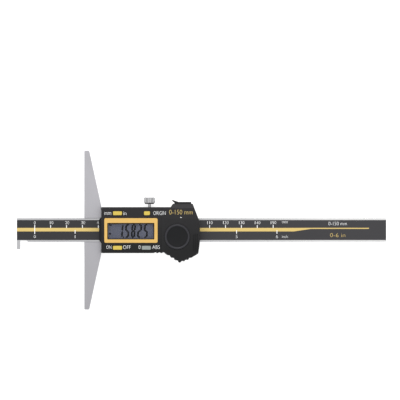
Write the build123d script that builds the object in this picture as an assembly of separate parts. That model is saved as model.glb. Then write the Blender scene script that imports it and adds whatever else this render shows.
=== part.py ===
from build123d import *
from math import cos, hypot, pi, sin
import os

# Digital depth gauge lying on its back. Sizes are in mm.
# X runs along the beam, away from its tip, Y across the beam and Z up from the table.
# x = 0 is the base's measuring face, y = 0 the beam's centreline, z = 0 the slider's back.

# Beam: a flat bar with a hook at its tip and a scale let into its face
beam_length = 232.3
beam_width = 15.0
beam_thickness = 3.5
beam_edge_break = 0.2
tip_reach = 42.45  # how far the tip stands out of the base at rest
hook_thickness = 2.1
hook_drop = 4.6  # below the beam's lower edge
relief_length = 4.9
relief_depth = 0.9
scale_width = 12.5
scale_strip_thickness = 0.8
scale_film_thickness = 0.2
scale_side_clearance = 0.05

# Base and slider: one piece of steel, with a channel for the beam
base_length = 100.0
base_end_width = 3.0
base_root_width = 13.85  # where its sloping backs would meet on the centreline
base_corner_radius = 0.6
plate_thickness = 6.5
plate_back_wall = 2.7
plate_edge_break = 0.25
slider_tail = 1.0  # the head's bulge passes the slider's end by this
slider_corner_radius = 1.0
slider_flank_gap = 0.4  # the slider's upper corner is cut back this far inside the head's flank
running_clearance = 0.05

# Gib, its set screws and the lock
gib_thickness = 1.0
gib_end_wall = 2.0
gib_height_clearance = 0.05
screw_thread_radius = 0.95
thread_clearance = 0.05
gib_screw_length = 2.8
gib_screw_socket = 0.45
gib_screw_socket_depth = 1.2
gib_screw_offsets = (-17.6, 16.4)  # along X from the lock
lock_offset = 7.3  # from the head back to the lock
lock_travel = 0.2
lock_pad_length = 1.2
lock_tip_gap = 0.02
lock_head_radius = 3.45
lock_head_length = 4.1
lock_head_lift = 1.95  # clear length of stem between the cover and the head
lock_head_round = 0.9
lock_head_bevel = 0.3
knurl_count = 30
knurl_depth = 0.22

# Front cover: a display half and a raised head over the battery
cover_left = 10.75
cover_wall = 1.3
cover_skirt = 1.45  # thickness beside the slider
cover_front_wall = 1.6
cover_face = 14.4
cover_skirt_lift = 1.2  # the steel back stands this far proud of the skirt
cover_fit = 0.2
cover_corner_radius = 0.5
cover_edge_round = 0.7
head_gap = 2.1  # between the bezel and the head
head_length = 24.5
head_slope_length = 2.4
head_rise = 0.8
head_corner_radius = 0.8
hump_right_inset = 4.6  # from the head's bulge
hump_width = 12.4
hump_slope_length = 1.5
hump_rise = 2.15  # past the cover's edge
flank_end_inset = 0.7
flank_end_y = 6.6
flank_bulge_y = -3.0
low_corner_inset = 1.05
low_corner_drop = 0.3
grip_left_offset = 2.1
grip_tip_share = 0.4735  # of the head's length, from its left
grip_drop = 6.05
grip_tip_radius = 0.35
grip_knee_share = 0.4  # of the grip's right slope, from its tip
grip_knee_bulge = 0.7
crease_y = 7.0
crease_drop = 0.45
hump_band_inset = 0.65
hump_band_drop = 1.6
groove_radius = 1.0
groove_depth = 0.52
# Grooves of the grip, as distances from the near end of each run
left_grooves = (1.8, 4.75, 7.7)
right_grooves = (1.8, 4.3)
upper_grooves = (1.7,)
edge_groove_start = 0.6
edge_groove_pitch = 2.5
edge_groove_count = 3
edge_groove_depth = 0.45
rib_groove_count = 3
rib_groove_pitch = 1.15
rib_groove_inset = 1.75
rib_groove_half_width = 0.3
rib_groove_depth = 0.28
rib_span = (-13.0, -2.5)

# Cover screws, driven from the back into bosses of the cover
cover_screw_insets = (4.0, 4.4)  # from the cover's left and from the slider's end
cover_screw_side_inset = 2.0
cover_screw_radius = 0.85
cover_screw_head_radius = 1.7
cover_screw_head_height = 1.0
cover_screw_length = 10.2
counterbore_radius = 1.9
counterbore_depth = 1.35
boss_radius = 2.0
boss_hole_depth = 5.4
screw_cross_length = 2.0
screw_cross_width = 0.4
screw_cross_depth = 0.5

# Electronics
board_thickness = 0.8
board_fit = 0.25
board_screw_offsets = (1.25, 1.1)  # from the display's centre and from the head's left
board_screw_side_inset = 1.8
board_screw_radius = 0.75
board_screw_head_radius = 1.4
board_screw_head_height = 0.8
board_screw_depth = 3.2
chip_size = (7.0, 7.0, 1.1)
display_view = (29.5, 10.3)
display_shift = (-0.1, -0.45)  # of the view within the bezel
window_lap = 0.6
window_thickness = 0.8
lcd_border = (1.3, 3.6)  # both sides together, around the view
lcd_thickness = 1.0
lcd_clearance = 0.05
holder_border = (0.8, 1.2)  # both sides together, around the panel
holder_view_margin = 0.7
zebra_inset = 4.6  # shorter than the panel
zebra_width = 1.5
zebra_edge_distance = 1.15  # from the panel's edge to the strip's middle
zebra_fit = 0.1
bezel_border = (4.0, 5.2)  # both sides together, around the view
bezel_margin = 1.9  # from the cover's left
bezel_centre_y = -0.25
bezel_radius = 1.0
bezel_inner_radius = 0.35
bezel_height = 1.1
bezel_fit = 0.15

# Buttons, in a row above the bezel and one below it
button_column = 8.3  # from the bezel's left, for the unit and power keys
origin_column = 26.8
zero_column = 26.4
button_width = 5.7
origin_width = 3.7
row_gap_above = 1.855
row_gap_below = 1.875
row_margin = 2.645  # from the upper row to the cover's edge
button_height = 2.45
button_corner = 0.6
button_proud = 0.6
button_travel = 0.5
button_fit = 0.15
button_flange = 0.45
button_flange_thickness = 0.8
button_seat_gap = 0.03
button_edge_round = 0.25
switch_size = (3.0, 2.6)
switch_body_height = 3.4
switch_plunger_radius = 0.6
switch_gap = 0.05  # left between key and switch when the key is fully down

# Battery, its contacts and cap
battery_share = 0.4163  # of the head's length, from its left
battery_y = -4.15
cell_radius = 5.8
cell_height = 5.4
cell_lip_radius = 4.9
cell_lip_height = 0.4
cell_lift = 0.7  # above the board
chamber_clearance = 0.3
chamber_wall_radius = 8.6
cap_radius = 8.05
cap_fit = 0.1
cap_recess_depth = 1.65
cap_sink = 0.25  # the cap's rim land lies this far under the head's face
cap_ring_inner = 6.45
cap_ring_height = 0.55
cap_dish = 0.3
cap_dish_bend = 0.6  # share of the radius where the dish is given its depth
cap_dish_share = 0.62
cap_boss_radius = 6.9
cap_boss_depth = 1.5
cap_hollow_depth = 1.15
seal_thickness = 0.3
lug_reach = 0.6
lug_width = 2.4
lug_thickness = 0.5
lug_fit = 0.1
lug_root = 0.4  # how far a lug runs into the cap's boss
cap_turn = 45.0
contact_thickness = 0.2
negative_contact_size = (8.0, 4.0)
positive_contact_width = 2.4
positive_contact_height = 4.0
positive_contact_foot = 1.8

# Data port and its rubber cover
port_shift = 0.0  # along X from the middle of the hump
port_plug_size = (7.4, 3.3)
port_plug_depth = 2.2
port_plug_fit = 0.15
port_plate_size = (10.6, 5.6)
port_plate_thickness = 1.1
port_height = 10.2
# x and y from the left foot of its plate
port_tab = ((0.2, 0.55), (-1.4, 1.7), (-1.25, 2.4), (2.5, 1.1), (2.0, 0.6))
port_tab_height = 4.0
connector_size = (6.6, 4.3, 4.3)
connector_plug_gap = 0.3
connector_contact_count = 4
connector_contact_pitch = 1.5
connector_contact_size = (0.7, 3.4, 0.2)

# Wipers that keep dirt off the scale
wiper_height = 1.3
wiper_fit = 0.05
wiper_half_width = 8.4
wiper_lip_half_width = 6.45
wiper_lip_length = 1.45
wiper_lip_drop = 0.2
rear_wiper_length = 1.2

overrun = 1.0  # how far a cutter reaches past what it cuts
rim_tolerance = 0.3  # a rim may lie this far under its face
blade_entry = 1.0  # the battery's side contact stands this far inside the cell's wall

# Places worked out from the sizes above
bezel_outer = (display_view[0] + bezel_border[0], display_view[1] + bezel_border[1])
bezel_left = cover_left + bezel_margin
bezel_centre = (bezel_left + bezel_outer[0] / 2, bezel_centre_y)
display_centre = (bezel_centre[0] + display_shift[0], bezel_centre[1] + display_shift[1])
lcd_size = (display_view[0] + lcd_border[0], display_view[1] + lcd_border[1])
holder_size = (lcd_size[0] + holder_border[0], lcd_size[1] + holder_border[1])
zebra_size = (lcd_size[0] - zebra_inset, zebra_width)
zebra_offset = lcd_size[1] / 2 - zebra_edge_distance
upper_row = bezel_centre[1] + (bezel_outer[1] + button_height) / 2 + row_gap_above
lower_row = bezel_centre[1] - (bezel_outer[1] + button_height) / 2 - row_gap_below
cover_half = upper_row + button_height / 2 + row_margin
slider_half = cover_half - cover_skirt - cover_fit
head_left = bezel_left + bezel_outer[0] + head_gap
head_right = head_left + head_length
slider_length = head_right - slider_tail
hump_right = head_right - hump_right_inset
hump_left = hump_right - hump_width
hump_foot = hump_left - hump_slope_length
hump_top = cover_half + hump_rise
hump_band_foot = cover_half - hump_band_inset
flank_end = (head_right - flank_end_inset, flank_end_y)
flank_bulge = (head_right, flank_bulge_y)
low_corner = (head_right - low_corner_inset, -cover_half - low_corner_drop)
grip_tip = (head_left + grip_tip_share * head_length, -cover_half - grip_drop)
grip_left = head_left + grip_left_offset
grip_run = (low_corner[0] - grip_tip[0], low_corner[1] - grip_tip[1])
knee_reach = grip_knee_bulge / hypot(*grip_run)
grip_knee = (grip_tip[0] + grip_knee_share * grip_run[0] + knee_reach * grip_run[1],
             grip_tip[1] + grip_knee_share * grip_run[1] - knee_reach * grip_run[0])
lock_position = head_left - lock_offset
gib_screw_positions = [lock_position + offset for offset in gib_screw_offsets]
cover_screw_xs = (cover_left + cover_screw_insets[0], slider_length - cover_screw_insets[1])
cover_screw_y = slider_half - cover_screw_side_inset
board_screw_xs = (display_centre[0] + board_screw_offsets[0], head_left + board_screw_offsets[1])
board_screw_y = slider_half - board_screw_side_inset
battery_centre = (head_left + battery_share * head_length, battery_y)
port_centre_x = (hump_left + hump_right) / 2 + port_shift
beam_back = plate_back_wall + running_clearance
beam_face = beam_back + beam_thickness
beam_middle = beam_back + beam_thickness / 2
tip_x = -tip_reach
beam_end = tip_x + beam_length
channel_half = beam_width / 2 + running_clearance
scale_recess_depth = scale_strip_thickness + scale_film_thickness
head_face = cover_face + head_rise
crease_z = head_face - crease_drop
cover_ceiling = cover_face - cover_front_wall
cover_inside_left = cover_left + cover_wall
board_top = plate_thickness + board_thickness
gib_seat = channel_half + gib_thickness
button_floor = cover_ceiling - button_seat_gap - button_flange_thickness
switch_top = button_floor - button_travel - switch_gap
lcd_bottom = cover_ceiling - lcd_clearance - lcd_thickness
window_face = cover_ceiling + window_thickness
cell_bottom = board_top + cell_lift
cap_floor = head_face - cap_recess_depth
cap_under = cap_floor + seal_thickness
cap_land = head_face - cap_sink
cap_boss_bottom = cap_under - cap_boss_depth
lock_pad_inner = gib_seat + lock_travel
lock_pad_outer = lock_pad_inner + lock_pad_length
port_plate_left = port_centre_x - port_plate_size[0] / 2

# Centre x, centre y and width of each button
buttons = {
    "button_unit": (bezel_left + button_column, upper_row, button_width),
    "button_origin": (bezel_left + origin_column, upper_row, origin_width),
    "button_power": (bezel_left + button_column, lower_row, button_width),
    "button_zero": (bezel_left + zero_column, lower_row, button_width),
}


def block(x_span, y_span, z_span):
    spans = (x_span, y_span, z_span)
    centre = [(low + high) / 2 for low, high in spans]
    return Pos(*centre) * Box(*[high - low for low, high in spans])


def centred(middle, size):
    return (middle - size / 2, middle + size / 2)


def post(x, y, radius, z_low, z_high):
    return Pos(x, y, (z_low + z_high) / 2) * Cylinder(radius, z_high - z_low)


def cross_rod(x, z, radius, y_low, y_high):
    return Pos(x, (y_low + y_high) / 2, z) * Rot(90, 0, 0) * Cylinder(radius, y_high - y_low)


def slab(sketch, z_low, z_high):
    return Pos(0, 0, z_low) * extrude(sketch, z_high - z_low)


def pane(centre, size, radius, z_low, z_high):
    return slab(Pos(*centre) * RectangleRounded(*size, radius), z_low, z_high)


def pillow(centre, size, z_low, z_high):
    return block(centred(centre[0], size[0]), centred(centre[1], size[1]), (z_low, z_high))


def polygon(points):
    return make_face(Polyline(*points, close=True))


def joined(parts):
    whole = Part()
    for part in parts:
        whole = whole + part
    return whole


def near(shapes, point):
    return shapes.sort_by_distance(point)[0]


def make_beam():
    half = beam_width / 2
    low = -half - hook_drop
    inner = tip_x + hook_thickness
    relief_end = inner + relief_length
    relief_y = -half + relief_depth
    bar = block((tip_x, beam_end), (-half, half), (beam_back, beam_face))
    bar = chamfer(bar.edges().filter_by(Axis.X), beam_edge_break)
    hook = block((tip_x, inner), (low, 0), (beam_back, beam_face))
    bar = bar + hook
    notch = polygon([(inner, low), (inner, relief_y), (relief_end - relief_depth, relief_y),
                     (relief_end, -half), (relief_end, low)])
    bar = bar - slab(notch, 0, plate_thickness)
    recess = scale_width / 2 + scale_side_clearance
    return bar - block((tip_x, beam_end), (-recess, recess), (beam_face - scale_recess_depth, beam_face))


def make_scale_strip():
    floor = beam_face - scale_recess_depth
    return block((tip_x, beam_end), centred(0, scale_width), (floor, floor + scale_strip_thickness))


def make_scale_film():
    return block((tip_x, beam_end), centred(0, scale_width), (beam_face - scale_film_thickness, beam_face))


def tail_corner(half):
    """Points that cut a tail of the given half width back along the head's upper flank."""
    run = (flank_end[0] - hump_right) / (hump_top - flank_end[1])
    reach = flank_end[0] - slider_flank_gap - (half - flank_end[1]) * run
    low = flank_end[1] + (flank_end[0] - slider_flank_gap - slider_length) / run
    return [(reach, half), (slider_length, low)]


def base_outline():
    slope = (base_root_width - base_end_width) / (base_length / 2)
    back = cover_left - cover_fit
    knee = (base_root_width - back) / slope
    upper = [(0, base_length / 2), (base_end_width, base_length / 2), (back, knee), (back, slider_half)]
    lower = [(x, -y) for x, y in reversed(upper)]
    outline = polygon(upper + tail_corner(slider_half) + [(slider_length, -slider_half)] + lower)
    ends = [near(outline.vertices(), (base_end_width, side * base_length / 2, 0)) for side in (1, -1)]
    outline = fillet(ends, base_corner_radius)
    tails = [near(outline.vertices(), (*corner, 0)) for corner in
             (tail_corner(slider_half)[0], (slider_length, -slider_half))]
    return fillet(tails, slider_corner_radius)


def make_base():
    plate = slab(base_outline(), 0, plate_thickness)
    rims = plate.edges().filter_by_position(Axis.Z, plate_thickness, plate_thickness)
    plate = chamfer(rims, plate_edge_break)
    open_top = (plate_back_wall, plate_thickness + overrun)
    plate = plate - block((-overrun, slider_length + overrun), (-channel_half, channel_half), open_top)
    gib_span = (cover_inside_left, slider_length - gib_end_wall)
    plate = plate - block(gib_span, (0, gib_seat + running_clearance), open_top)
    hole = screw_thread_radius + thread_clearance
    for x in (*gib_screw_positions, lock_position):
        plate = plate - cross_rod(x, beam_middle, hole, channel_half, slider_half + overrun)
    for x, y in cover_screw_places():
        through = (-overrun, plate_thickness + overrun)
        plate = plate - post(x, y, cover_screw_radius + thread_clearance, *through)
        plate = plate - post(x, y, counterbore_radius, -overrun, counterbore_depth)
    for x, y in board_screw_places():
        plate = plate - post(x, y, board_screw_radius + thread_clearance,
                             plate_thickness - board_screw_depth - thread_clearance,
                             plate_thickness + overrun)
    return plate


def cover_screw_places():
    return [(x, side * cover_screw_y) for x in cover_screw_xs for side in (1, -1)]


def board_screw_places():
    return [(x, side * board_screw_y) for x in board_screw_xs for side in (1, -1)]


def make_gib():
    span = (cover_inside_left + running_clearance, slider_length - gib_end_wall - running_clearance)
    return block(span, (channel_half, gib_seat), (plate_back_wall, beam_face - gib_height_clearance))


def make_gib_screws():
    screws = []
    outer = gib_seat + gib_screw_length
    for x in gib_screw_positions:
        socket = extrude(RegularPolygon(gib_screw_socket, 6), gib_screw_socket_depth)
        socket = Pos(x, outer, beam_middle) * Rot(90, 0, 0) * socket
        screws.append(cross_rod(x, beam_middle, screw_thread_radius, gib_seat, outer) - socket)
    return joined(screws)


def make_lock_pad():
    return cross_rod(lock_position, beam_middle, screw_thread_radius, lock_pad_inner, lock_pad_outer)


def knurled_band(length):
    """Prism along Z whose outline zigzags between the head's radius and the knurl's roots."""
    teeth = []
    for step in range(2 * knurl_count):
        radius = lock_head_radius if step % 2 else lock_head_radius - knurl_depth
        angle = pi * step / knurl_count
        teeth.append((radius * cos(angle), radius * sin(angle)))
    return extrude(polygon(teeth), length)


def make_lock_screw():
    """Stem, rounded collar, knurled band and bevelled top, turned about Z and then laid along Y."""
    foot = lock_pad_outer + lock_tip_gap
    stem_length = cover_half + lock_head_lift - foot
    root = lock_head_radius - knurl_depth
    collar = fillet(Cylinder(root, 2 * lock_head_round).edges().sort_by(Axis.Z)[0], lock_head_round)
    top = chamfer(Cylinder(root, 2 * lock_head_bevel).edges().sort_by(Axis.Z)[-1], lock_head_bevel)
    band = knurled_band(lock_head_length - lock_head_round - lock_head_bevel)
    screw = Pos(0, 0, stem_length / 2) * Cylinder(screw_thread_radius, stem_length)
    screw = screw + Pos(0, 0, stem_length + lock_head_round) * (collar + band)
    screw = screw + Pos(0, 0, stem_length + lock_head_length - lock_head_bevel) * top
    return Pos(lock_position, foot, beam_middle) * Rot(-90, 0, 0) * screw


def head_outline():
    corners = [(head_left, -cover_half), (head_left, cover_half), (hump_foot, cover_half),
               (hump_left, hump_top), (hump_right, hump_top), flank_end]
    tail = [low_corner, grip_knee, grip_tip, (grip_left, -cover_half), (head_left, -cover_half)]
    flank = ThreePointArc(flank_end, flank_bulge, low_corner)
    outline = make_face([Polyline(*corners), flank, Polyline(*tail)])
    for corner in ((hump_left, hump_top), (hump_right, hump_top), low_corner):
        outline = fillet(near(outline.vertices(), (*corner, 0)), head_corner_radius)
    return fillet(near(outline.vertices(), (*grip_tip, 0)), grip_tip_radius)


def display_outline():
    right = hump_foot - overrun
    outline = Pos((cover_left + right) / 2, 0) * Rectangle(right - cover_left, 2 * cover_half)
    left_corners = outline.vertices().sort_by(Axis.X)[:2]
    return fillet(left_corners, cover_corner_radius)


def wedge_along_x(points):
    """Prism along X over the whole cover, from (y, z) points."""
    length = head_right - cover_left + 2 * overrun
    return Pos(cover_left - overrun, 0, 0) * extrude(Plane.YZ * polygon(points), length)


def head_facets(body):
    """Slopes the head's face down to the display, towards the hump and down the hump's own band."""
    above = head_face + overrun
    beyond = hump_top + overrun
    reach = (beyond - hump_band_foot) / (hump_top - hump_band_foot)
    body = body - wedge_along_x([(crease_y, head_face), (hump_band_foot, crease_z), (beyond, crease_z),
                                 (beyond, above), (crease_y, above)])
    body = body - wedge_along_x([(hump_band_foot, crease_z), (beyond, crease_z - hump_band_drop * reach),
                                 (beyond, above), (hump_band_foot, above)])
    slope_end = head_left + head_slope_length
    slope = [(head_left, cover_face), (slope_end, head_face), (slope_end, above),
             (head_left - overrun, above), (head_left - overrun, cover_face)]
    return body - extrude(Plane.XZ * polygon(slope), 2 * cover_half, both=True)


def grip_grooves():
    """Cutters for the teeth on both slopes of the thumb grip and on the lower edge beside it."""
    cutters = []
    lift = groove_radius - groove_depth
    runs = ((grip_tip, (grip_left, -cover_half), left_grooves), (grip_tip, grip_knee, right_grooves),
            (grip_knee, low_corner, upper_grooves))
    for start, end, distances in runs:
        length = hypot(end[0] - start[0], end[1] - start[1])
        along = ((end[0] - start[0]) / length, (end[1] - start[1]) / length)
        side = 1 if along[0] < 0 else -1
        outward = (-side * along[1], side * along[0])
        for distance in distances:
            x = start[0] + along[0] * distance + outward[0] * lift
            y = start[1] + along[1] * distance + outward[1] * lift
            cutters.append(post(x, y, groove_radius, 0, head_face + overrun))
    for step in range(edge_groove_count):
        x = grip_left - edge_groove_start - step * edge_groove_pitch
        y = -cover_half - groove_radius + edge_groove_depth
        cutters.append(post(x, y, groove_radius, 0, head_face + overrun))
    return cutters


def rib_grooves():
    cutters = []
    for step in range(rib_groove_count):
        x = head_right - rib_groove_inset - step * rib_groove_pitch
        lift = rib_groove_half_width - rib_groove_depth
        cutters.append(cross_rod(x, head_face + lift, rib_groove_half_width, *rib_span))
    return cutters


def cover_cavity(inset, top):
    outline = offset(display_outline() + head_outline(), -inset, kind=Kind.INTERSECTION)
    middle = Pos((cover_left + head_right) / 2, (hump_top - cover_half + inset) / 2)
    keep = middle * Rectangle(head_right - cover_left, hump_top + cover_half - inset)
    return slab(outline & keep, plate_thickness, top)


def make_cover():
    display = slab(display_outline(), cover_skirt_lift, cover_face)
    head = head_facets(slab(head_outline(), cover_skirt_lift, head_face))
    head = soften_front(head, crease_z - hump_band_drop)
    display = soften_front(display, cover_face)
    body = display + head
    for cutter in grip_grooves() + rib_grooves():
        body = body - cutter
    slot = slider_half + cover_fit
    past = (cover_left - overrun, head_right + overrun)
    body = body - block(past, (-slot, slot), (0, plate_thickness))
    body = body - cover_cavity(cover_wall, cover_ceiling)
    x, y = battery_centre
    body = body + post(x, y, chamber_wall_radius, cell_bottom, cover_ceiling)
    for place in cover_screw_places():
        body = body + post(*place, boss_radius, plate_thickness, cover_ceiling)
    boss_hole = cover_screw_radius + thread_clearance
    for place in cover_screw_places():
        body = body - post(*place, boss_hole, 0, plate_thickness + boss_hole_depth)
    body = body - battery_room()
    body = body - display_opening()
    for centre_x, centre_y, width in buttons.values():
        size = (width + 2 * button_fit, button_height + 2 * button_fit)
        body = body - pane((centre_x, centre_y), size, button_corner, 0, cover_face + overrun)
    body = body - port_room()
    body = body - cross_rod(lock_position, beam_middle, screw_thread_radius + cover_fit,
                            slider_half - overrun, cover_half + overrun)
    for low, high in ((past[0], cover_inside_left), (slider_length - cover_wall, past[1])):
        body = body - block((low, high), centred(0, 2 * (wiper_half_width + wiper_fit)),
                            (0, plate_thickness + wiper_height + wiper_fit))
    return body


def soften_front(body, lowest):
    """Rounds the front rim of a moulding, along edges that belong to both a wall and a front face."""
    rims = []
    walls = [face for face in body.faces() if abs(face.normal_at().Z) < 0.01]
    wall_edges = [edge for face in walls for edge in face.edges()]
    for edge in body.edges():
        middle = edge @ 0.5
        on_wall = sum(1 for other in wall_edges if (other @ 0.5 - middle).length < 1e-4)
        if on_wall == 1 and middle.Z > lowest - rim_tolerance:
            rims.append(edge)
    return fillet(rims, cover_edge_round)


def battery_room():
    x, y = battery_centre
    chamber = cell_radius + chamber_clearance
    bore = cap_boss_radius + cap_fit
    groove = cap_boss_radius + lug_reach + lug_fit
    groove_low = cap_boss_bottom - lug_fit
    groove_high = cap_boss_bottom + lug_thickness + lug_fit
    room = post(x, y, cap_radius + cap_fit, cap_floor, head_face + overrun)
    room = room + post(x, y, bore, groove_low, cap_floor)
    room = room + post(x, y, groove, groove_low, groove_high)
    room = room + post(x, y, chamber, 0, groove_low)
    entry = block(centred(0, 2 * groove), centred(0, lug_width + 2 * lug_fit), (groove_low, cap_floor))
    entry = entry & post(0, 0, groove, groove_low, cap_floor)
    room = room + Pos(x, y, 0) * Rot(0, 0, cap_turn) * entry
    blade = block((x - chamber - contact_thickness - lug_fit, x - cell_radius + blade_entry),
                  centred(y, positive_contact_width + 2 * cap_fit),
                  (0, board_top + positive_contact_height + 2 * contact_thickness))
    return room + blade


def display_opening():
    pane_size = [view + 2 * (window_lap + lcd_clearance) for view in display_view]
    opening = pane(display_centre, pane_size, bezel_inner_radius, cover_ceiling - overrun, window_face)
    recess = [side + 2 * bezel_fit for side in bezel_outer]
    return opening + pane(bezel_centre, recess, bezel_radius + bezel_fit, window_face, cover_face + overrun)


def port_room():
    width, height = [side + 2 * port_plug_fit for side in port_plug_size]
    depth = (hump_top - cover_wall - overrun, hump_top + overrun)
    return block(centred(port_centre_x, width), depth, centred(port_height, height))


def make_cover_screws():
    screws = []
    head_low = counterbore_depth - cover_screw_head_height
    for x, y in cover_screw_places():
        screw = post(x, y, cover_screw_head_radius, head_low, counterbore_depth)
        screw = screw + post(x, y, cover_screw_radius, head_low, counterbore_depth + cover_screw_length)
        screws.append(screw - cross_recess(x, y, head_low, screw_cross_depth))
    return joined(screws)


def cross_recess(x, y, z, depth):
    """Cross-shaped driver recess cut upwards from z, or downwards with a negative depth."""
    span = sorted((z, z + depth))
    bars = [pillow((x, y), size, *span) for size in
            ((screw_cross_length, screw_cross_width), (screw_cross_width, screw_cross_length))]
    return joined(bars)


def make_board():
    board = cover_cavity(cover_wall + board_fit, board_top)
    wiper_back = slider_length - rear_wiper_length - board_fit
    board = board - block((wiper_back, head_right), centred(0, 2 * (wiper_half_width + board_fit)),
                          (plate_thickness, board_top))
    for place in cover_screw_places():
        board = board - post(*place, boss_radius + board_fit, plate_thickness, board_top)
    for place in board_screw_places():
        board = board - post(*place, board_screw_radius + thread_clearance, plate_thickness, board_top)
    return board


def make_board_screws():
    screws = []
    top = board_top + board_screw_head_height
    for x, y in board_screw_places():
        screw = post(x, y, board_screw_head_radius, board_top, top)
        screw = screw + post(x, y, board_screw_radius, plate_thickness - board_screw_depth, top)
        screws.append(screw - cross_recess(x, y, top, -screw_cross_depth))
    return joined(screws)


def make_chip():
    width, depth, height = chip_size
    return pillow(display_centre, (width, depth), board_top, board_top + height)


def zebra_rows():
    return [(display_centre[0], display_centre[1] + side * zebra_offset) for side in (1, -1)]


def make_zebra_strips():
    return joined([pillow(row, zebra_size, board_top, lcd_bottom) for row in zebra_rows()])


def make_display_holder():
    frame = pillow(display_centre, holder_size, board_top, lcd_bottom)
    view = [side - 2 * holder_view_margin for side in display_view]
    frame = frame - pillow(display_centre, view, board_top, lcd_bottom)
    for row in zebra_rows():
        slot = [side + 2 * zebra_fit for side in zebra_size]
        frame = frame - pillow(row, slot, board_top, lcd_bottom)
    return frame


def make_lcd():
    return pillow(display_centre, lcd_size, lcd_bottom, lcd_bottom + lcd_thickness)


def make_window():
    size = [view + 2 * window_lap for view in display_view]
    return pane(display_centre, size, bezel_inner_radius, cover_ceiling, window_face)


def make_bezel():
    top = window_face + bezel_height
    frame = pane(bezel_centre, bezel_outer, bezel_radius, window_face, top)
    frame = frame - pane(display_centre, display_view, bezel_inner_radius, window_face, top)
    return chamfer(frame.edges().filter_by_position(Axis.Z, top, top), bezel_fit)


def make_switches():
    switches = []
    body_top = board_top + switch_body_height
    for x, y, _ in buttons.values():
        switches.append(pillow((x, y), switch_size, board_top, body_top)
                        + post(x, y, switch_plunger_radius, body_top, switch_top))
    return joined(switches)


def make_button(x, y, width):
    top = cover_face + button_proud
    key = pane((x, y), (width, button_height), button_corner, button_floor, top)
    key = fillet(key.edges().filter_by_position(Axis.Z, top, top), button_edge_round)
    flange = (width + 2 * button_flange, button_height + 2 * button_flange)
    return key + pane((x, y), flange, button_corner, button_floor, button_floor + button_flange_thickness)


def make_cell():
    x, y = battery_centre
    lip_top = cell_bottom + cell_lip_height
    can = post(x, y, cell_radius, lip_top, cell_bottom + cell_height)
    return post(x, y, cell_lip_radius, cell_bottom, lip_top) + can


def make_negative_contact():
    x, y = battery_centre
    half, depth = negative_contact_size[0] / 2, negative_contact_size[1]
    crown = cell_bottom - lcd_clearance
    rise = ThreePointArc((-half, board_top), (0, crown - contact_thickness), (half, board_top))
    upper = board_top + contact_thickness
    back = ThreePointArc((half, upper), (0, crown), (-half, upper))
    leaf = make_face([rise, Line(rise @ 1, back @ 0), back, Line(back @ 1, rise @ 0)])
    return Pos(x, y, 0) * extrude(Plane.XZ * leaf, depth / 2, both=True)


def make_positive_contact():
    x, y = battery_centre
    face = x - cell_radius - lcd_clearance
    blade = block((face - contact_thickness, face), centred(y, positive_contact_width),
                  (board_top, board_top + positive_contact_height))
    foot = block((face - positive_contact_foot, face), centred(y, positive_contact_width),
                 (board_top, board_top + contact_thickness))
    return blade + foot


def make_cap():
    land_outer, land_inner = cap_radius, cap_ring_inner
    crest = ((land_outer + land_inner) / 2, cap_land + cap_ring_height)
    hollow = cell_radius + chamber_clearance
    hollow_top = cap_boss_bottom + cap_hollow_depth
    bend = (land_inner * cap_dish_bend, cap_land - cap_dish * cap_dish_share)
    dish = ThreePointArc((0, cap_land - cap_dish), bend, (land_inner, cap_land))
    ring = ThreePointArc((land_inner, cap_land), crest, (land_outer, cap_land))
    body = Polyline((land_outer, cap_land), (land_outer, cap_under), (cap_boss_radius, cap_under),
                    (cap_boss_radius, cap_boss_bottom), (hollow, cap_boss_bottom), (hollow, hollow_top),
                    (0, hollow_top), (0, cap_land - cap_dish))
    cap = revolve(Plane.XZ * make_face([dish, ring, body]), Axis.Z)
    reach = cap_boss_radius + lug_reach
    lug_span = (cap_boss_bottom, cap_boss_bottom + lug_thickness)
    lugs = block(centred(0, 2 * reach), centred(0, lug_width), lug_span)
    lugs = lugs & post(0, 0, reach, *lug_span)
    lugs = lugs - post(0, 0, cap_boss_radius - lug_root, *lug_span)
    return Pos(*battery_centre, 0) * (cap + lugs)


def make_cap_seal():
    x, y = battery_centre
    outer = post(x, y, cap_radius - cap_fit, cap_floor, cap_under)
    return outer - post(x, y, cap_boss_radius + cap_fit, cap_floor, cap_under)


def make_port_cover():
    width, height = port_plate_size
    low, high = hump_top, hump_top + port_plate_thickness
    plate = block(centred(port_centre_x, width), (low, high), centred(port_height, height))
    plate = fillet(plate.edges().filter_by(Axis.Y), button_corner)
    plug_width, plug_height = port_plug_size
    plug_depth = (low - port_plug_depth, low)
    plug = block(centred(port_centre_x, plug_width), plug_depth, centred(port_height, plug_height))
    tab_points = [(port_plate_left + x, low + y) for x, y in port_tab]
    tab = slab(polygon(tab_points), *centred(port_height, port_tab_height))
    return plate + plug + tab


def connector_span():
    width, depth, height = connector_size
    mouth = hump_top - port_plug_depth - connector_plug_gap
    return centred(port_centre_x, width), (mouth - depth, mouth), (board_top, board_top + height)


def make_connector():
    return block(*connector_span())


def make_connector_contacts():
    width, depth, thickness = connector_contact_size
    _, (_, mouth), (_, top) = connector_span()
    leaves = []
    for step in range(connector_contact_count):
        x = port_centre_x + connector_contact_pitch * (step - (connector_contact_count - 1) / 2)
        leaves.append(block(centred(x, width), (mouth - depth, mouth), (top, top + thickness)))
    return joined(leaves)


def make_front_wiper():
    lip_tip = cover_left - wiper_lip_length
    upper = [(lip_tip, wiper_lip_half_width), (cover_left, wiper_half_width),
             (cover_inside_left, wiper_half_width)]
    outline = polygon(upper + [(x, -y) for x, y in reversed(upper)])
    body = slab(outline, plate_thickness, plate_thickness + wiper_height)
    lip = block((lip_tip, lip_tip + wiper_lip_length / 2), centred(0, 2 * wiper_lip_half_width),
                (plate_thickness - wiper_lip_drop, plate_thickness))
    return body + lip


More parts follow.
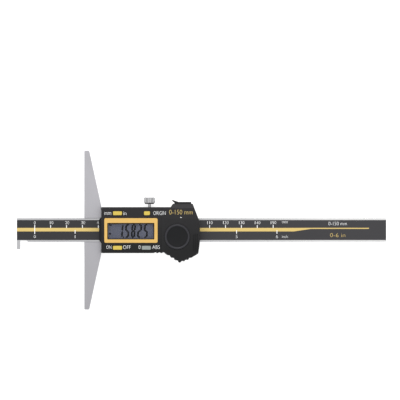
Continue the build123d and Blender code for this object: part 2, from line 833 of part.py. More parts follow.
def make_rear_wiper():
    high = slider_length
    low = high - rear_wiper_length
    outline = polygon([(low, wiper_half_width), *tail_corner(wiper_half_width),
                       (high, -wiper_half_width), (low, -wiper_half_width)])
    body = slab(outline, plate_thickness, plate_thickness + wiper_height)
    lip = block((high - wiper_lip_length / 2, high), centred(0, 2 * wiper_lip_half_width),
                (plate_thickness - wiper_lip_drop, plate_thickness))
    return body + lip


def main():
    os.makedirs("parts", exist_ok=True)
    pieces = {
        "beam": make_beam(),
        "scale_strip": make_scale_strip(),
        "scale_film": make_scale_film(),
        "depth_base": make_base(),
        "gib": make_gib(),
        "gib_screws": make_gib_screws(),
        "lock_pad": make_lock_pad(),
        "lock_screw": make_lock_screw(),
        "front_cover": make_cover(),
        "cover_screws": make_cover_screws(),
        "circuit_board": make_board(),
        "board_screws": make_board_screws(),
        "processor_chip": make_chip(),
        "zebra_strips": make_zebra_strips(),
        "display_holder": make_display_holder(),
        "lcd_panel": make_lcd(),
        "display_window": make_window(),
        "display_bezel": make_bezel(),
        "key_switches": make_switches(),
        "battery_cell": make_cell(),
        "negative_contact": make_negative_contact(),
        "positive_contact": make_positive_contact(),
        "battery_cap": make_cap(),
        "battery_cap_seal": make_cap_seal(),
        "port_cover": make_port_cover(),
        "data_connector": make_connector(),
        "connector_contacts": make_connector_contacts(),
        "front_wiper": make_front_wiper(),
        "rear_wiper": make_rear_wiper(),
    }
    for name, (x, y, width) in buttons.items():
        pieces[name] = make_button(x, y, width)
    for name, piece in pieces.items():
        export_step(piece, f"parts/{name}.step")


main()
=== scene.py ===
import bmesh
import bpy
import math
import numpy as np
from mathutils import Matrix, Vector


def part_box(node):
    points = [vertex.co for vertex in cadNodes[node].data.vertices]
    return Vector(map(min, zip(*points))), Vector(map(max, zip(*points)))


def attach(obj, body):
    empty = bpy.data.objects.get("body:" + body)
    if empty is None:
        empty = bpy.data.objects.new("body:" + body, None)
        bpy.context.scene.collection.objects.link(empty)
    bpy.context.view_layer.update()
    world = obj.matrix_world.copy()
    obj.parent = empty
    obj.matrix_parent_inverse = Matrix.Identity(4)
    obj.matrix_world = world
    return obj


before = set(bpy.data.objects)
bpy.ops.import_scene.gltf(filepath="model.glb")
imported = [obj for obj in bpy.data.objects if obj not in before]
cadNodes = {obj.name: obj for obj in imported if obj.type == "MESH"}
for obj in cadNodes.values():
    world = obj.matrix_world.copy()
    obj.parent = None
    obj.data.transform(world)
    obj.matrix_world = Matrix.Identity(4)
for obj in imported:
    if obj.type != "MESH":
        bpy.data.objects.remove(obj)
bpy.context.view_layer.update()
mm = 0.001  # metres in a millimetre; sizes and places are in mm, except in the studio
noiseDetail = {"colour": 3.0, "relief": 2.0}  # finer layers laid over each noise


def linearColour(hexCode):
    # sRGB hex to linear light: dark channels are divided by 12.92, the others go through a power of 2.4
    channels = [int(hexCode[i:i + 2], 16) / 255 for i in (1, 3, 5)]
    return [c / 12.92 if c < 0.04045 else ((c + 0.055) / 1.055) ** 2.4 for c in channels] + [1.0]


def addNode(tree, kind, settings=None, links=None):
    # settings name sockets or the node's own fields, links name sockets fed by (node, output)
    node = tree.nodes.new(kind)
    for key, value in (settings or {}).items():
        if isinstance(key, int) or key in node.inputs:
            node.inputs[key].default_value = value
        else:
            setattr(node, key, value)
    for key, (source, output) in (links or {}).items():
        tree.links.new(source.outputs[output], node.inputs[key])
    return node


def blendTo(tree, colour, shade, share):
    # colour times (1 - share), plus shade times share
    return addNode(tree, "ShaderNodeMix", {"data_type": "RGBA", 7: linearColour(shade)},
                   {0: (share, "Result"), 6: (colour, 2)})


def fadeShare(tree, place, paintedLight):
    # share of the painted light and shade: (place - start) / (end - start) along one axis, kept
    # between 0 and 1
    axis, start, end, _ = paintedLight
    parts = addNode(tree, "ShaderNodeSeparateXYZ", None, {"Vector": (place, "Object")})
    return addNode(tree, "ShaderNodeMapRange", {"From Min": start * mm, "From Max": end * mm},
                   {"Value": (parts, axis)})


def ringShare(tree, place, ring):
    # Share of a painted highlight band. Distance from an upright axis, less the band's middle
    # radius: 1 where that is small, falling to 0 at half the band's width, either side
    x, y, inner, outer, _ = ring
    middle, half = (inner + outer) / 2 * mm, (outer - inner) / 2 * mm
    core = 0.7  # share of the half width that has the full shade
    level = addNode(tree, "ShaderNodeVectorMath", {"operation": "MULTIPLY", 1: (1, 1, 0)},
                    {0: (place, "Object")})
    apart = addNode(tree, "ShaderNodeVectorMath", {"operation": "DISTANCE", 1: (x * mm, y * mm, 0)},
                    {0: (level, 0)})
    off = addNode(tree, "ShaderNodeMath", {"operation": "SUBTRACT", 1: middle}, {0: (apart, "Value")})
    off = addNode(tree, "ShaderNodeMath", {"operation": "ABSOLUTE"}, {0: (off, 0)})
    return addNode(tree, "ShaderNodeMapRange", {"From Min": half, "From Max": half * core},
                   {"Value": (off, 0)})


def makeFinish(look):
    # Base colour wanders between two shades in patches of a size in mm, roughness between two
    # values, and each layer of "relief" adds a bump: (grain size in mm along X, Y and Z, height
    # in mm, strength). The ramp (axis, start, end, shade) paints light and shade along one axis,
    # and the ring (x, y, inner, outer, shade) paints a highlight band round an upright axis.
    material = bpy.data.materials.new(look["name"])
    material.use_nodes = True
    tree = material.node_tree
    shader = tree.nodes["Principled BSDF"]
    place = addNode(tree, "ShaderNodeTexCoord")
    patch = addNode(tree, "ShaderNodeTexNoise",
                    {"Scale": 1 / (look["patch"] * mm), "Detail": noiseDetail["colour"]},
                    {"Vector": (place, "Object")})
    shades = [linearColour(code) for code in look["shades"]]
    colour = addNode(tree, "ShaderNodeMix", {"data_type": "RGBA", 6: shades[0], 7: shades[1]},
                     {0: (patch, "Fac")})
    # painted light and shade: the colour ramps to another shade along one axis
    if "paintedLight" in look:
        colour = blendTo(tree, colour, look["paintedLight"][-1], fadeShare(tree, place, look["paintedLight"]))
    # painted highlight: a lighter band round an upright axis
    if "ring" in look:
        colour = blendTo(tree, colour, look["ring"][-1], ringShare(tree, place, look["ring"]))
    rough = addNode(tree, "ShaderNodeMapRange", {"To Min": look["rough"][0], "To Max": look["rough"][1]},
                    {"Value": (patch, "Fac")})
    tree.links.new(colour.outputs[2], shader.inputs["Base Color"])
    tree.links.new(rough.outputs["Result"], shader.inputs["Roughness"])
    normal = None
    for grain, height, strength in look.get("relief", []):
        spread = addNode(tree, "ShaderNodeMapping", {"Scale": [1 / (size * mm) for size in grain]},
                         {"Vector": (place, "Object")})
        noise = addNode(tree, "ShaderNodeTexNoise", {"Scale": 1.0, "Detail": noiseDetail["relief"]},
                        {"Vector": (spread, "Vector")})
        links = {"Height": (noise, "Fac")}
        if normal:
            links["Normal"] = (normal, "Normal")
        normal = addNode(tree, "ShaderNodeBump", {"Strength": strength, "Distance": height * mm}, links)
    if normal:
        tree.links.new(normal.outputs["Normal"], shader.inputs["Normal"])
    for socket, value in look.get("sockets", {}).items():
        shader.inputs[socket].default_value = value
    return material


def dress(look, *names):
    # one finish for every slot of the named nodes
    material = makeFinish(look)
    for name in names:
        node = cadNodes[name]
        if node.material_slots:
            for slot in node.material_slots:
                slot.material = material
        else:
            node.data.materials.append(material)


def makePiece(name, vertices, faces, material, body):
    # corners in mm times 0.001 become a mesh that rides with its body
    mesh = bpy.data.meshes.new(name)
    mesh.from_pydata((np.asarray(vertices) * mm).tolist(), [], [list(map(int, face)) for face in faces])
    mesh.validate()
    mesh.update()
    mesh.materials.append(material)
    piece = bpy.data.objects.new(name, mesh)
    bpy.context.scene.collection.objects.link(piece)
    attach(piece, body)
    return piece


def prisms(outlines, low, high):
    # Upright prisms: every outline is one row of corners, anticlockwise, shape (count, corners, 2).
    # Each stands at low and again at high, and a side joins every corner to the one after it.
    outlines = np.asarray(outlines, float)
    count, corners, _ = outlines.shape
    flat = outlines.reshape(-1, 2)
    vertices = np.concatenate([np.c_[flat, np.full(len(flat), low)],
                               np.c_[flat, np.full(len(flat), high)]])
    under = np.arange(count * corners).reshape(count, corners)
    ahead = np.roll(under, -1, axis=1)
    lift = count * corners
    sides = np.stack([under, ahead, ahead + lift, under + lift], -1).reshape(-1, 4)
    faces = [list(row) for row in under[:, ::-1]]
    faces += [list(row) for row in under + lift]
    faces += [list(row) for row in sides]
    return vertices, faces


def rectangles(left, right, low, high):
    # corner rows of upright rectangles from arrays of their edges
    left, right, low, high = np.broadcast_arrays(left, right, low, high)
    return np.stack([np.stack([left, low], -1), np.stack([right, low], -1),
                     np.stack([right, high], -1), np.stack([left, high], -1)], -2).astype(float)


def ribbon(along, low, high, bottom, top):
    # A closed strip along X: four corners at each station, its edges low and high given in Y
    along, low, high = np.broadcast_arrays(along, low, high)
    count = len(along)
    floor, roof = np.full(count, bottom), np.full(count, top)
    ring = np.stack([np.stack([along, low, floor], -1), np.stack([along, high, floor], -1),
                     np.stack([along, high, roof], -1), np.stack([along, low, roof], -1)], 1)
    index = np.arange(count * 4).reshape(count, 4)
    ahead = np.roll(index, -1, axis=1)
    sides = np.stack([index[:-1], index[1:], ahead[1:], ahead[:-1]], -1).reshape(-1, 4)
    faces = [list(row) for row in sides] + [list(index[0])] + [list(index[-1][::-1])]
    return ring.reshape(-1, 3), faces


# Print is cut thin: "offset" pulls each letter's outline inwards, as a share of the type size
letters = {"offset": -0.018, "curveSteps": 3}


def lettering(name, words, material, body, thick):
    # Each word is (text, centre x, centre y, z below it, width, height): its points, less their
    # middle, times the wanted size over their own, plus the centre
    vertices, faces = [], []
    for text, x, y, z, width, height in words:
        curve = bpy.data.curves.new(name, "FONT")
        curve.body = text
        curve.size = 1.0
        curve.extrude = 0.5  # any depth will do, as "thick" sets the real one
        curve.offset = letters["offset"]
        curve.resolution_u = letters["curveSteps"]
        holder = bpy.data.objects.new(name, curve)
        mesh = bpy.data.meshes.new_from_object(holder)
        points = np.empty(len(mesh.vertices) * 3)
        mesh.vertices.foreach_get("co", points)
        points = points.reshape(-1, 3)
        span = points.max(0) - points.min(0)
        middle = (points.max(0) + points.min(0)) / 2
        scale = [width / span[0], height / span[1], thick / span[2]]
        points = (points - middle) * scale + [x, y, z + thick / 2]
        start = sum(len(block) for block in vertices)
        vertices.append(points)
        faces += [[start + corner for corner in face.vertices] for face in mesh.polygons]
        bpy.data.objects.remove(holder)
        bpy.data.curves.remove(curve)
        bpy.data.meshes.remove(mesh)
    return makePiece(name, np.concatenate(vertices), faces, material, body)


def onFace(words, z):
    # puts the face's height into words given as (text, centre x, centre y, width, height)
    return [(text, x, y, z, width, height) for text, x, y, width, height in words]


# Real grinding lines and spark texture are too fine to show, so the relief of all the metals and
# moulded plastics below is drawn coarser, at 0.1 to 0.5 mm.

# Ground stainless steel, satin: soft wide reflections, with a fine grain along its 100 mm.
# Its colour darkens towards -Y: painted shade of the light from behind.
baseSteel = {"name": "satin ground stainless steel", "shades": ("#b8b7bb", "#bfbec3"), "patch": 22,
             "rough": (0.34, 0.42), "paintedLight": ("Y", 50, -50, "#aeadb1"),
             "relief": [((0.16, 5.0, 0.16), 0.003, 0.5)], "sockets": {"Metallic": 1.0}}
dress(baseSteel, "depth_base")

# The beam is ground along its own length, so its grain lies square to the base's.
# Its colour brightens towards +X: a painted reflection.
beamSteel = {"name": "fine ground beam steel", "shades": ("#c6c6c9", "#cfcfd1"), "patch": 18,
             "rough": (0.24, 0.32), "paintedLight": ("X", 60, 150, "#f2f2f2"),
             "relief": [((6.0, 0.14, 0.14), 0.002, 0.5)], "sockets": {"Metallic": 1.0}}
dress(beamSteel, "beam")

# Printed polyester film: dark satin skin with a faint orange peel.
# It grows lighter towards +X: painted light.
filmLook = {"name": "satin scale film", "shades": ("#151416", "#1b1a1d"), "patch": 30,
            "rough": (0.36, 0.44), "paintedLight": ("X", -40, 190, "#29282b"),
            "relief": [((0.5, 0.5, 0.5), 0.004, 0.2)], "sockets": {"Specular IOR Level": 0.5}}
dress(filmLook, "scale_film")

# Glass fibre in cured resin, sawn: a dull olive with a coarse speckle
laminateLook = {"name": "glass fibre laminate", "shades": ("#4d5a35", "#5d6b41"), "patch": 3,
                "rough": (0.5, 0.65), "relief": [((0.4, 0.4, 0.4), 0.01, 0.4)]}
dress(laminateLook, "scale_strip")

# Rolled brass strip: warm, with fine drawn lines along it
brassLook = {"name": "rolled brass", "shades": ("#c9a24d", "#d8b566"), "patch": 6, "rough": (0.28, 0.4),
             "relief": [((3.0, 0.15, 0.15), 0.003, 0.4)], "sockets": {"Metallic": 1.0}}
dress(brassLook, "gib", "lock_pad")

# Small screws, turned: clean grey steel with a fine tooth
turnedSteel = {"name": "turned screw steel", "shades": ("#a9a9ad", "#bdbdc0"), "patch": 4,
               "rough": (0.25, 0.36), "relief": [((0.12, 0.12, 0.12), 0.002, 0.3)],
               "sockets": {"Metallic": 1.0}}
dress(turnedSteel, "gib_screws", "cover_screws", "board_screws")

# Chrome over knurled steel: bright and a little soft. Its dark edge tint is painted shade,
# darker where it turns away from the eye.
chromeLook = {"name": "satin chrome plate", "shades": ("#b2b2b4", "#bfbfc0"), "patch": 5,
              "rough": (0.24, 0.34), "relief": [((0.2, 0.2, 0.2), 0.002, 0.3)],
              "sockets": {"Metallic": 1.0, "Specular Tint": (0.12, 0.12, 0.12, 1.0)}}
dress(chromeLook, "lock_screw")

# Moulded ABS with a fine spark texture, so light breaks up softly on it.
# Its colour darkens towards -Y: painted shade of the light from behind.
housingLook = {"name": "spark textured charcoal ABS", "shades": ("#19181a", "#1f1e20"), "patch": 9,
               "rough": (0.46, 0.56), "paintedLight": ("Y", 13, -13, "#0a0b0c"),
               "relief": [((0.28, 0.28, 0.28), 0.012, 0.35)], "sockets": {"Specular IOR Level": 0.24}}
dress(housingLook, "front_cover")

# The cap's dish is smooth and dark, and the lighter, duller band on its soft raised ring is
# a painted highlight.
capLook = {"name": "smooth charcoal ABS with a painted highlight ring", "shades": ("#08090b", "#0b0c0f"), "patch": 8,
           "rough": (0.38, 0.46), "ring": (58.45, -4.15, 6.45, 8.05, "#29292d"),
           "relief": [((0.5, 0.5, 0.5), 0.006, 0.25)], "sockets": {"Specular IOR Level": 0.22}}
dress(capLook, "battery_cap")

# Moulded rubber: nearly black and dull, with hardly a highlight
rubberLook = {"name": "black moulded rubber", "shades": ("#131315", "#19191b"), "patch": 5,
              "rough": (0.6, 0.72), "relief": [((0.35, 0.35, 0.35), 0.01, 0.3)],
              "sockets": {"Specular IOR Level": 0.3}}
dress(rubberLook, "port_cover", "front_wiper", "rear_wiper", "battery_cap_seal")

# Gold paint on a moulded frame: even and satin, warm but without a metal's glint
goldLook = {"name": "satin gold paint", "shades": ("#c29b51", "#c9a45a"), "patch": 7,
            "rough": (0.34, 0.42), "relief": [((0.4, 0.4, 0.4), 0.004, 0.2)],
            "sockets": {"Metallic": 0.0}}
dress(goldLook, "display_bezel")

# Keys are plastic coloured right through: a flat clean colour, with a soft highlight on the edges
yellowLook = {"name": "moulded mustard plastic", "shades": ("#b7a03f", "#bfa845"), "patch": 3,
              "rough": (0.4, 0.5), "relief": [((0.3, 0.3, 0.3), 0.006, 0.25)]}
dress(yellowLook, "button_unit", "button_origin", "button_power")

# The zero key is the same plastic in a pale, slightly green grey
greyLook = {"name": "moulded pale grey plastic", "shades": ("#7a807d", "#828885"), "patch": 3,
            "rough": (0.4, 0.5), "relief": [((0.3, 0.3, 0.3), 0.006, 0.25)]}
dress(greyLook, "button_zero")

# Liquid crystal glass under its polariser: a flat blue grey that hardly shines
lcdLook = {"name": "blue grey liquid crystal glass", "shades": ("#5a5e6c", "#606272"), "patch": 12,
           "rough": (0.3, 0.4), "relief": [((0.8, 0.8, 0.8), 0.001, 0.1)],
           "sockets": {"Specular IOR Level": 0.2}}
dress(lcdLook, "lcd_panel")

# Clear acrylic: mostly see-through, with a faint sheen that dims the display a little
windowLook = {"name": "clear acrylic pane", "shades": ("#16181a", "#1c1f21"), "patch": 20,
              "rough": (0.06, 0.12), "sockets": {"Alpha": 0.1}}
dress(windowLook, "display_window")

# Solder mask over copper: glossy green, a little uneven
boardLook = {"name": "solder masked board", "shades": ("#0f5a34", "#14693e"), "patch": 2,
             "rough": (0.3, 0.42), "relief": [((0.5, 0.5, 0.5), 0.02, 0.4)]}
dress(boardLook, "circuit_board")

# Glass filled plastic, moulded: dull black with a gritty skin
blackPlastic = {"name": "black glass filled plastic", "shades": ("#18181a", "#222224"), "patch": 2,
                "rough": (0.5, 0.6), "relief": [((0.2, 0.2, 0.2), 0.008, 0.3)]}
dress(blackPlastic, "processor_chip", "key_switches", "data_connector")

# Conductive and plain rubber in turn: dull pink, with its layers as fine stripes across the strip
zebraLook = {"name": "layered conductive rubber", "shades": ("#9b4a48", "#b4625e"), "patch": 1,
             "rough": (0.55, 0.7), "relief": [((0.1, 2.0, 2.0), 0.01, 0.4)]}
dress(zebraLook, "zebra_strips")

# White polycarbonate, moulded: pale and satin, the lightest plastic inside
holderLook = {"name": "white moulded polycarbonate", "shades": ("#d6d6d2", "#e2e2de"), "patch": 4,
              "rough": (0.4, 0.5), "relief": [((0.4, 0.4, 0.4), 0.005, 0.2)]}
dress(holderLook, "display_holder")

# Nickel on a drawn can: bright, with the sharpest reflections of all the metals
cellLook = {"name": "nickel plated steel can", "shades": ("#c4c4c0", "#d0d0cc"), "patch": 5,
            "rough": (0.16, 0.26), "relief": [((0.15, 0.15, 0.15), 0.002, 0.3)],
            "sockets": {"Metallic": 1.0}}
dress(cellLook, "battery_cell")

# Gold over spring strip: warm and quite glossy, with faint rolling lines
contactLook = {"name": "gold plated spring strip", "shades": ("#d9b45c", "#e5c675"), "patch": 3,
               "rough": (0.2, 0.3), "relief": [((2.0, 0.1, 0.1), 0.002, 0.3)],
               "sockets": {"Metallic": 1.0}}
dress(contactLook, "negative_contact", "positive_contact", "connector_contacts")
print("finishes on the CAD nodes: done")

# Screen printing inks: flat and even, the gold one a plain warm colour and the white one dull
goldInk = makeFinish({"name": "gold scale ink", "shades": ("#c0a660", "#c6ad68"), "patch": 25,
                      "rough": (0.4, 0.48)})
whiteInk = makeFinish({"name": "white scale ink", "shades": ("#e2e2e2", "#ececec"), "patch": 5,
                       "rough": (0.5, 0.6)})
# the display's segments are nearly black and take almost no highlight; the same dark ink
# paints the shadow inside the gold trim
lcdInkAndShadow = makeFinish({"name": "dark liquid crystal segments and painted trim shadow", "shades": ("#06070a", "#0b0c10"),
                     "patch": 4, "rough": (0.4, 0.5), "sockets": {"Specular IOR Level": 0.15}})

# The printed scale on the film: a gold band that tapers to a line, with marks and figures.
# "zero" is the X of both zero marks, and words are text, centre x and y, width and height.
scalePrint = {"thick": 0.02, "lift": 0.01, "inset": 0.02,
              "bandHigh": 1.35, "bandLow": -0.87, "bandEnd": 131.75, "taperEnd": 142.55,
              "taperStations": 24, "lineHigh": 1.4, "lineLow": 0.73, "lineEnd": 179.05,
              "zero": -31.22, "range": 150, "step": 10, "inch": 25.4, "inches": 6,
              "tickWidth": 0.44, "upperEnd": 3.1, "lowerEnd": -2.3, "inchStart": -0.1,
              "zeroSpan": (-2.5, 3.3), "numberRow": 4.65, "inchRow": -4.1, "pairShift": 0.4,
              "digitHeight": 1.85, "digitWidth": 1.12, "oneWidth": 0.28, "digitPitch": 1.35,
              "white": [("mm", 126.15, 4.95, 3.5, 1.35), ("inch", 126.15, -4.1, 3.6, 1.6),
                        ("0-150 mm", 159.35, 4.1, 11.5, 2.2)],
              "gold": [("0-6 in", 159.35, -3.2, 9.5, 2.4)]}


def spellNumber(number, x, y, z):
    # Digit k of n stands at x + (k - (n - 1) / 2) times the pitch, with a 1 narrower than the others
    p = scalePrint
    words = []
    for place, digit in enumerate(number):
        centre = x + (place - (len(number) - 1) / 2) * p["digitPitch"]
        width = p["oneWidth"] if digit == "1" else p["digitWidth"]
        words.append((digit, centre, y, z, width, p["digitHeight"]))
    return words


def printScale():
    # Marks stand at zero plus whole steps, in mm above the band and in inches below it
    p = scalePrint
    low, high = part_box("scale_film")
    face = high.z / mm
    tip = low.x / mm
    top = face + p["thick"]
    # between bandEnd and taperEnd both edges of the band run straight to those of the thin line
    taper = np.linspace(p["bandEnd"], p["taperEnd"], p["taperStations"])
    along = np.concatenate([[tip + p["inset"]], taper, [p["lineEnd"]]])
    share = np.clip((along - p["bandEnd"]) / (p["taperEnd"] - p["bandEnd"]), 0, 1)
    lower = p["bandLow"] + (p["lineLow"] - p["bandLow"]) * share
    upper = p["bandHigh"] + (p["lineHigh"] - p["bandHigh"]) * share
    vertices, faces = ribbon(along, lower, upper, face, top)
    makePiece("scale_gold_band", vertices, faces, goldInk, "beam")
    millimetres = p["zero"] + np.arange(0, p["range"] + 1, p["step"])
    inches = p["zero"] + p["inch"] * np.arange(0, p["inches"] + 1)
    half = p["tickWidth"] / 2
    # the inch marks reach into the gold band and the zero mark crosses it, so all lie a hair higher
    marks = np.concatenate([
        rectangles(millimetres[1:] - half, millimetres[1:] + half, p["bandHigh"], p["upperEnd"]),
        rectangles(inches[1:] - half, inches[1:] + half, p["lowerEnd"], p["inchStart"]),
        rectangles(inches[:1] - half, inches[:1] + half, *p["zeroSpan"])])
    vertices, faces = prisms(marks, face, top + p["lift"])
    makePiece("scale_graduations", vertices, faces, whiteInk, "beam")
    words = []
    for count, x in enumerate(millimetres):
        text = str(count * p["step"])
        aside = p["pairShift"] if len(text) == 2 else 0  # pairs are printed a little off their mark
        words += spellNumber(text, x + aside, p["numberRow"], face)
    for count, x in enumerate(inches):
        words += spellNumber(str(count), x, p["inchRow"], face)
    words += onFace(p["white"], face)
    lettering("scale_numbers", words, whiteInk, "beam", p["thick"])
    lettering("scale_range_gold", onFace(p["gold"], face), goldInk, "beam", p["thick"])


printScale()

# Legends on the housing: text, centre x and y, width and height. The cover's face climbs by
# "rise" from headLeft to slopeEnd, and drops again by creaseDrop from creaseY to creaseEnd.
legends = {"thick": 0.05, "headLeft": 48.25, "slopeEnd": 50.65, "rise": 0.8,
           "creaseY": 7.0, "creaseEnd": 13.8, "creaseDrop": 0.45, "onCrease": 0.0001,
           "white": [("mm", 14.85, 10.4, 4.2, 1.7), ("in", 25.6, 10.6, 1.85, 2.3),
                     ("ORIGIN", 47.3, 10.7, 7.7, 2.3), ("ON", 15.55, -10.7, 3.2, 2.2),
                     ("OFF", 26.85, -10.7, 4.8, 2.2), ("0", 34.8, -10.7, 1.2, 2.2),
                     ("ABS", 45.15, -10.7, 4.7, 2.2)],
           "gold": [("0-150 mm", 60.75, 11.3, 14.6, 2.9)],
           "dot": (60.75, 7.95, 0.4, 0.24), "dotCorners": 24}


def layOnCover(piece):
    # Lifts every point of a flat print by the height of the cover's face below it: the smaller of
    # rise times the share of the slope, and rise less creaseDrop times the share of the crease
    p = legends
    mesh = piece.data
    # first the print is cut along the cover's creases, so that it can bend there
    cuts = bmesh.new()
    cuts.from_mesh(mesh)
    for place, normal in (((p["headLeft"] * mm, 0, 0), (1, 0, 0)), ((p["slopeEnd"] * mm, 0, 0), (1, 0, 0)),
                          ((0, p["creaseY"] * mm, 0), (0, 1, 0))):
        everything = cuts.verts[:] + cuts.edges[:] + cuts.faces[:]
        bmesh.ops.bisect_plane(cuts, geom=everything, dist=p["onCrease"] * mm, plane_co=place,
                               plane_no=normal)
    cuts.to_mesh(mesh)
    cuts.free()
    points = np.empty(len(mesh.vertices) * 3)
    mesh.vertices.foreach_get("co", points)
    points = points.reshape(-1, 3)
    x, y = points[:, 0] / mm, points[:, 1] / mm
    up = p["rise"] * np.clip((x - p["headLeft"]) / (p["slopeEnd"] - p["headLeft"]), 0, 1)
    fall = np.clip((y - p["creaseY"]) / (p["creaseEnd"] - p["creaseY"]), 0, 1)
    points[:, 2] += np.minimum(up, p["rise"] - p["creaseDrop"] * fall) * mm
    mesh.vertices.foreach_set("co", points.ravel())
    mesh.update()


def printLegends():
    # the index dot is an ellipse: x + wide * cos(turn), y + high * sin(turn)
    p = legends
    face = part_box("front_cover")[1].z / mm - p["rise"]
    for name, ink in (("white", whiteInk), ("gold", goldInk)):
        layOnCover(lettering("legends_" + name, onFace(p[name], face), ink, "carriage", p["thick"]))
    x, y, wide, high = p["dot"]
    turn = np.linspace(0, 2 * math.pi, p["dotCorners"], endpoint=False)
    outline = np.c_[x + wide * np.cos(turn), y + high * np.sin(turn)]
    vertices, faces = prisms([outline], face, face + p["thick"])
    layOnCover(makePiece("index_dot", vertices, faces, whiteInk, "carriage"))


printLegends()

# The reading: slanted seven segment digits, a decimal point and two small indicators. "point" is
# the point's centre x and size, and each of "marks" a centre x and y, a width and a height.
reading = {"digits": "15825", "first": 23.11, "pitch": 3.9, "width": 2.8, "low": -5.0, "high": 3.9,
           "stroke": 1.12, "slant": 0.08, "gap": 0.03, "thick": 0.01, "point": (24.6, 0.9),
           "marks": ((16.5, 3.15, 1.5, 0.7), (16.2, -2.4, 1.3, 1.0))}
segmentsOf = {"1": "bc", "2": "abged", "5": "afgcd", "8": "abcdefg"}


def showReading():
    # Segments are six-cornered bars: "a", "g" and "d" lie at the top, middle and bottom, "f" and
    # "b" stand left and right above, "e" and "c" below. X leans by the height off the middle
    # times slant.
    r = reading
    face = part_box("lcd_panel")[1].z / mm
    height = r["high"] - r["low"]
    half, gap = r["stroke"] / 2, r["gap"]
    span = r["width"] - r["stroke"]
    rise = (height - r["stroke"]) / 2
    bar = np.array([[gap, 0], [half + gap, -half], [span - half - gap, -half], [span - gap, 0],
                    [span - half - gap, half], [half + gap, half]])
    post = np.array([[0, gap], [half, half + gap], [half, rise - half - gap], [0, rise - gap],
                     [-half, rise - half - gap], [-half, half + gap]])
    shapes = {"a": bar + [0, 2 * rise], "g": bar + [0, rise], "d": bar, "f": post + [0, rise],
              "e": post, "b": post + [span, rise], "c": post + [span, 0]}
    outlines = []
    for place, digit in enumerate(r["digits"]):
        start = np.array([r["first"] + place * r["pitch"] - span / 2, r["low"] + half])
        outlines += [shapes[key] + start for key in segmentsOf[digit]]
    outlines = np.array(outlines)
    outlines[:, :, 0] += (outlines[:, :, 1] - (r["low"] + r["high"]) / 2) * r["slant"]
    # the point and the indicators are upright rectangles, given six corners like the segments
    oblong = np.array([[-1, -1], [0, -1], [1, -1], [1, 1], [0, 1], [-1, 1]])
    x, size = r["point"]
    for centre, middle, wide, high in ((x, r["low"] + size / 2, size, size), *r["marks"]):
        outlines = np.concatenate([outlines, [oblong * [wide / 2, high / 2] + [centre, middle]]])
    vertices, faces = prisms(outlines, face, face + r["thick"])
    makePiece("display_digits", vertices, faces, lcdInkAndShadow, "carriage")


showReading()

# A thin dark frame on the window's face inside the gold trim: painted shadow of the trim's
# inner wall
trimShadow = {"x": 29.27, "y": -0.7, "width": 29.5, "height": 10.3, "line": 0.45, "thick": 0.02}


def printBorder():
    # four mitred bars between a rectangle and a second one that lies "line" inside it
    b = trimShadow
    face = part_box("display_window")[1].z / mm
    outer = np.array([[-b["width"], -b["height"]], [b["width"], -b["height"]],
                      [b["width"], b["height"]], [-b["width"], b["height"]]]) / 2
    inner = outer - np.sign(outer) * b["line"]
    rows = [[outer[k], outer[(k + 1) % 4], inner[(k + 1) % 4], inner[k]] for k in range(4)]
    # the painted shadow lies flat on the window's face
    vertices, faces = prisms(np.array(rows) + [b["x"], b["y"]], face, face + b["thick"])
    makePiece("window_trim_shadow", vertices, faces, lcdInkAndShadow, "carriage")


printBorder()
print("print and display: done")

# Pale floor, soft light and the camera straight above. Sizes and places here are in metres, the
# lens and its sensor in mm. "dome" gives the sky's light by height, from the horizon (0) to
# overhead (1), and each lamp is a name, a place, a size and its watts.
studio = {"floorSize": 12.0, "floorDrop": 0.0001, "floor": ("#a4a4a4", "#aaaaaa"), "glow": 0.8,
          "dome": ((0.0, 0.5), (0.25, 0.65), (0.5, 1.5), (0.8, 1.5), (0.93, 0.85), (1.0, 0.75)),
          "lamps": (("back", (0.0, 1.0, 0.95), 0.9, 9.0),),
          "centre": (0.07275, 0.0189, 0.00625), "distance": 4.194, "nearest": 0.05,
          "lens": 600.0, "sensor": 36.0}


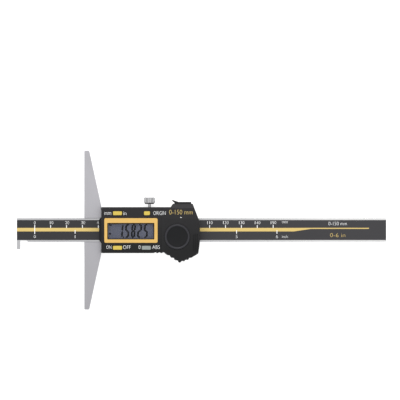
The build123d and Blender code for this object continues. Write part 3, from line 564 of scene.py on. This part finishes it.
def makeFloor():
    # a square of floorSize just under the gauge; its own glow keeps it white, with few shadows
    s = studio
    half, z = s["floorSize"] / 2, -s["floorDrop"]
    mesh = bpy.data.meshes.new("floor")
    mesh.from_pydata([(-half, -half, z), (half, -half, z), (half, half, z), (-half, half, z)],
                     [], [(0, 1, 2, 3)])
    glow = {"Specular IOR Level": 0.2, "Emission Color": (1.0, 1.0, 1.0, 1.0),
            "Emission Strength": s["glow"]}
    mesh.materials.append(makeFinish({"name": "lit white acrylic table", "shades": s["floor"],
                                      "patch": 300, "rough": (0.8, 0.9), "sockets": glow}))
    floor = bpy.data.objects.new("floor", mesh)
    bpy.context.scene.collection.objects.link(floor)


def makeSky():
    # white light from all round, its strength straight between the dome's points by height
    s = studio
    world = bpy.data.worlds.new("studio")
    world.use_nodes = True
    tree = world.node_tree
    sky = addNode(tree, "ShaderNodeTexCoord")
    parts = addNode(tree, "ShaderNodeSeparateXYZ", None, {"Vector": (sky, "Generated")})
    heights = addNode(tree, "ShaderNodeFloatCurve", None, {"Value": (parts, "Z")})
    curve = heights.mapping.curves[0]
    strongest = max(light for _, light in s["dome"])
    for step, (height, light) in enumerate(s["dome"]):
        # a new curve has two points, which take the first two places
        point = curve.points[step] if step < 2 else curve.points.new(height, light / strongest)
        point.location = (height, light / strongest)
    for point in curve.points:
        point.handle_type = "VECTOR"
    heights.mapping.update()
    strength = addNode(tree, "ShaderNodeMath", {"operation": "MULTIPLY", 1: strongest},
                       {0: (heights, "Value")})
    background = tree.nodes["Background"]
    tree.links.new(strength.outputs[0], background.inputs["Strength"])
    background.inputs["Color"].default_value = (1.0, 1.0, 1.0, 1.0)
    bpy.context.scene.world = world


def makeStudio():
    # each lamp faces the centre, and the camera stands at distance above it, looking down
    s = studio
    scene = bpy.context.scene
    makeFloor()
    makeSky()
    for name, place, size, watts in s["lamps"]:
        light = bpy.data.lights.new(name, "AREA")
        light.shape = "SQUARE"
        light.size = size
        light.energy = watts
        lamp = bpy.data.objects.new(name, light)
        lamp.location = place
        aim = Vector(s["centre"]) - Vector(place)
        lamp.rotation_euler = aim.to_track_quat("-Z", "Y").to_euler()
        scene.collection.objects.link(lamp)
    lens = bpy.data.cameras.new("above")
    lens.lens = s["lens"]
    lens.sensor_width = s["sensor"]
    lens.clip_start = s["nearest"]
    camera = bpy.data.objects.new("above", lens)
    camera.location = (s["centre"][0], s["centre"][1], s["centre"][2] + s["distance"])
    scene.collection.objects.link(camera)
    scene.camera = camera
    scene.view_settings.view_transform = "Standard"


makeStudio()
print("floor, light and camera: done")
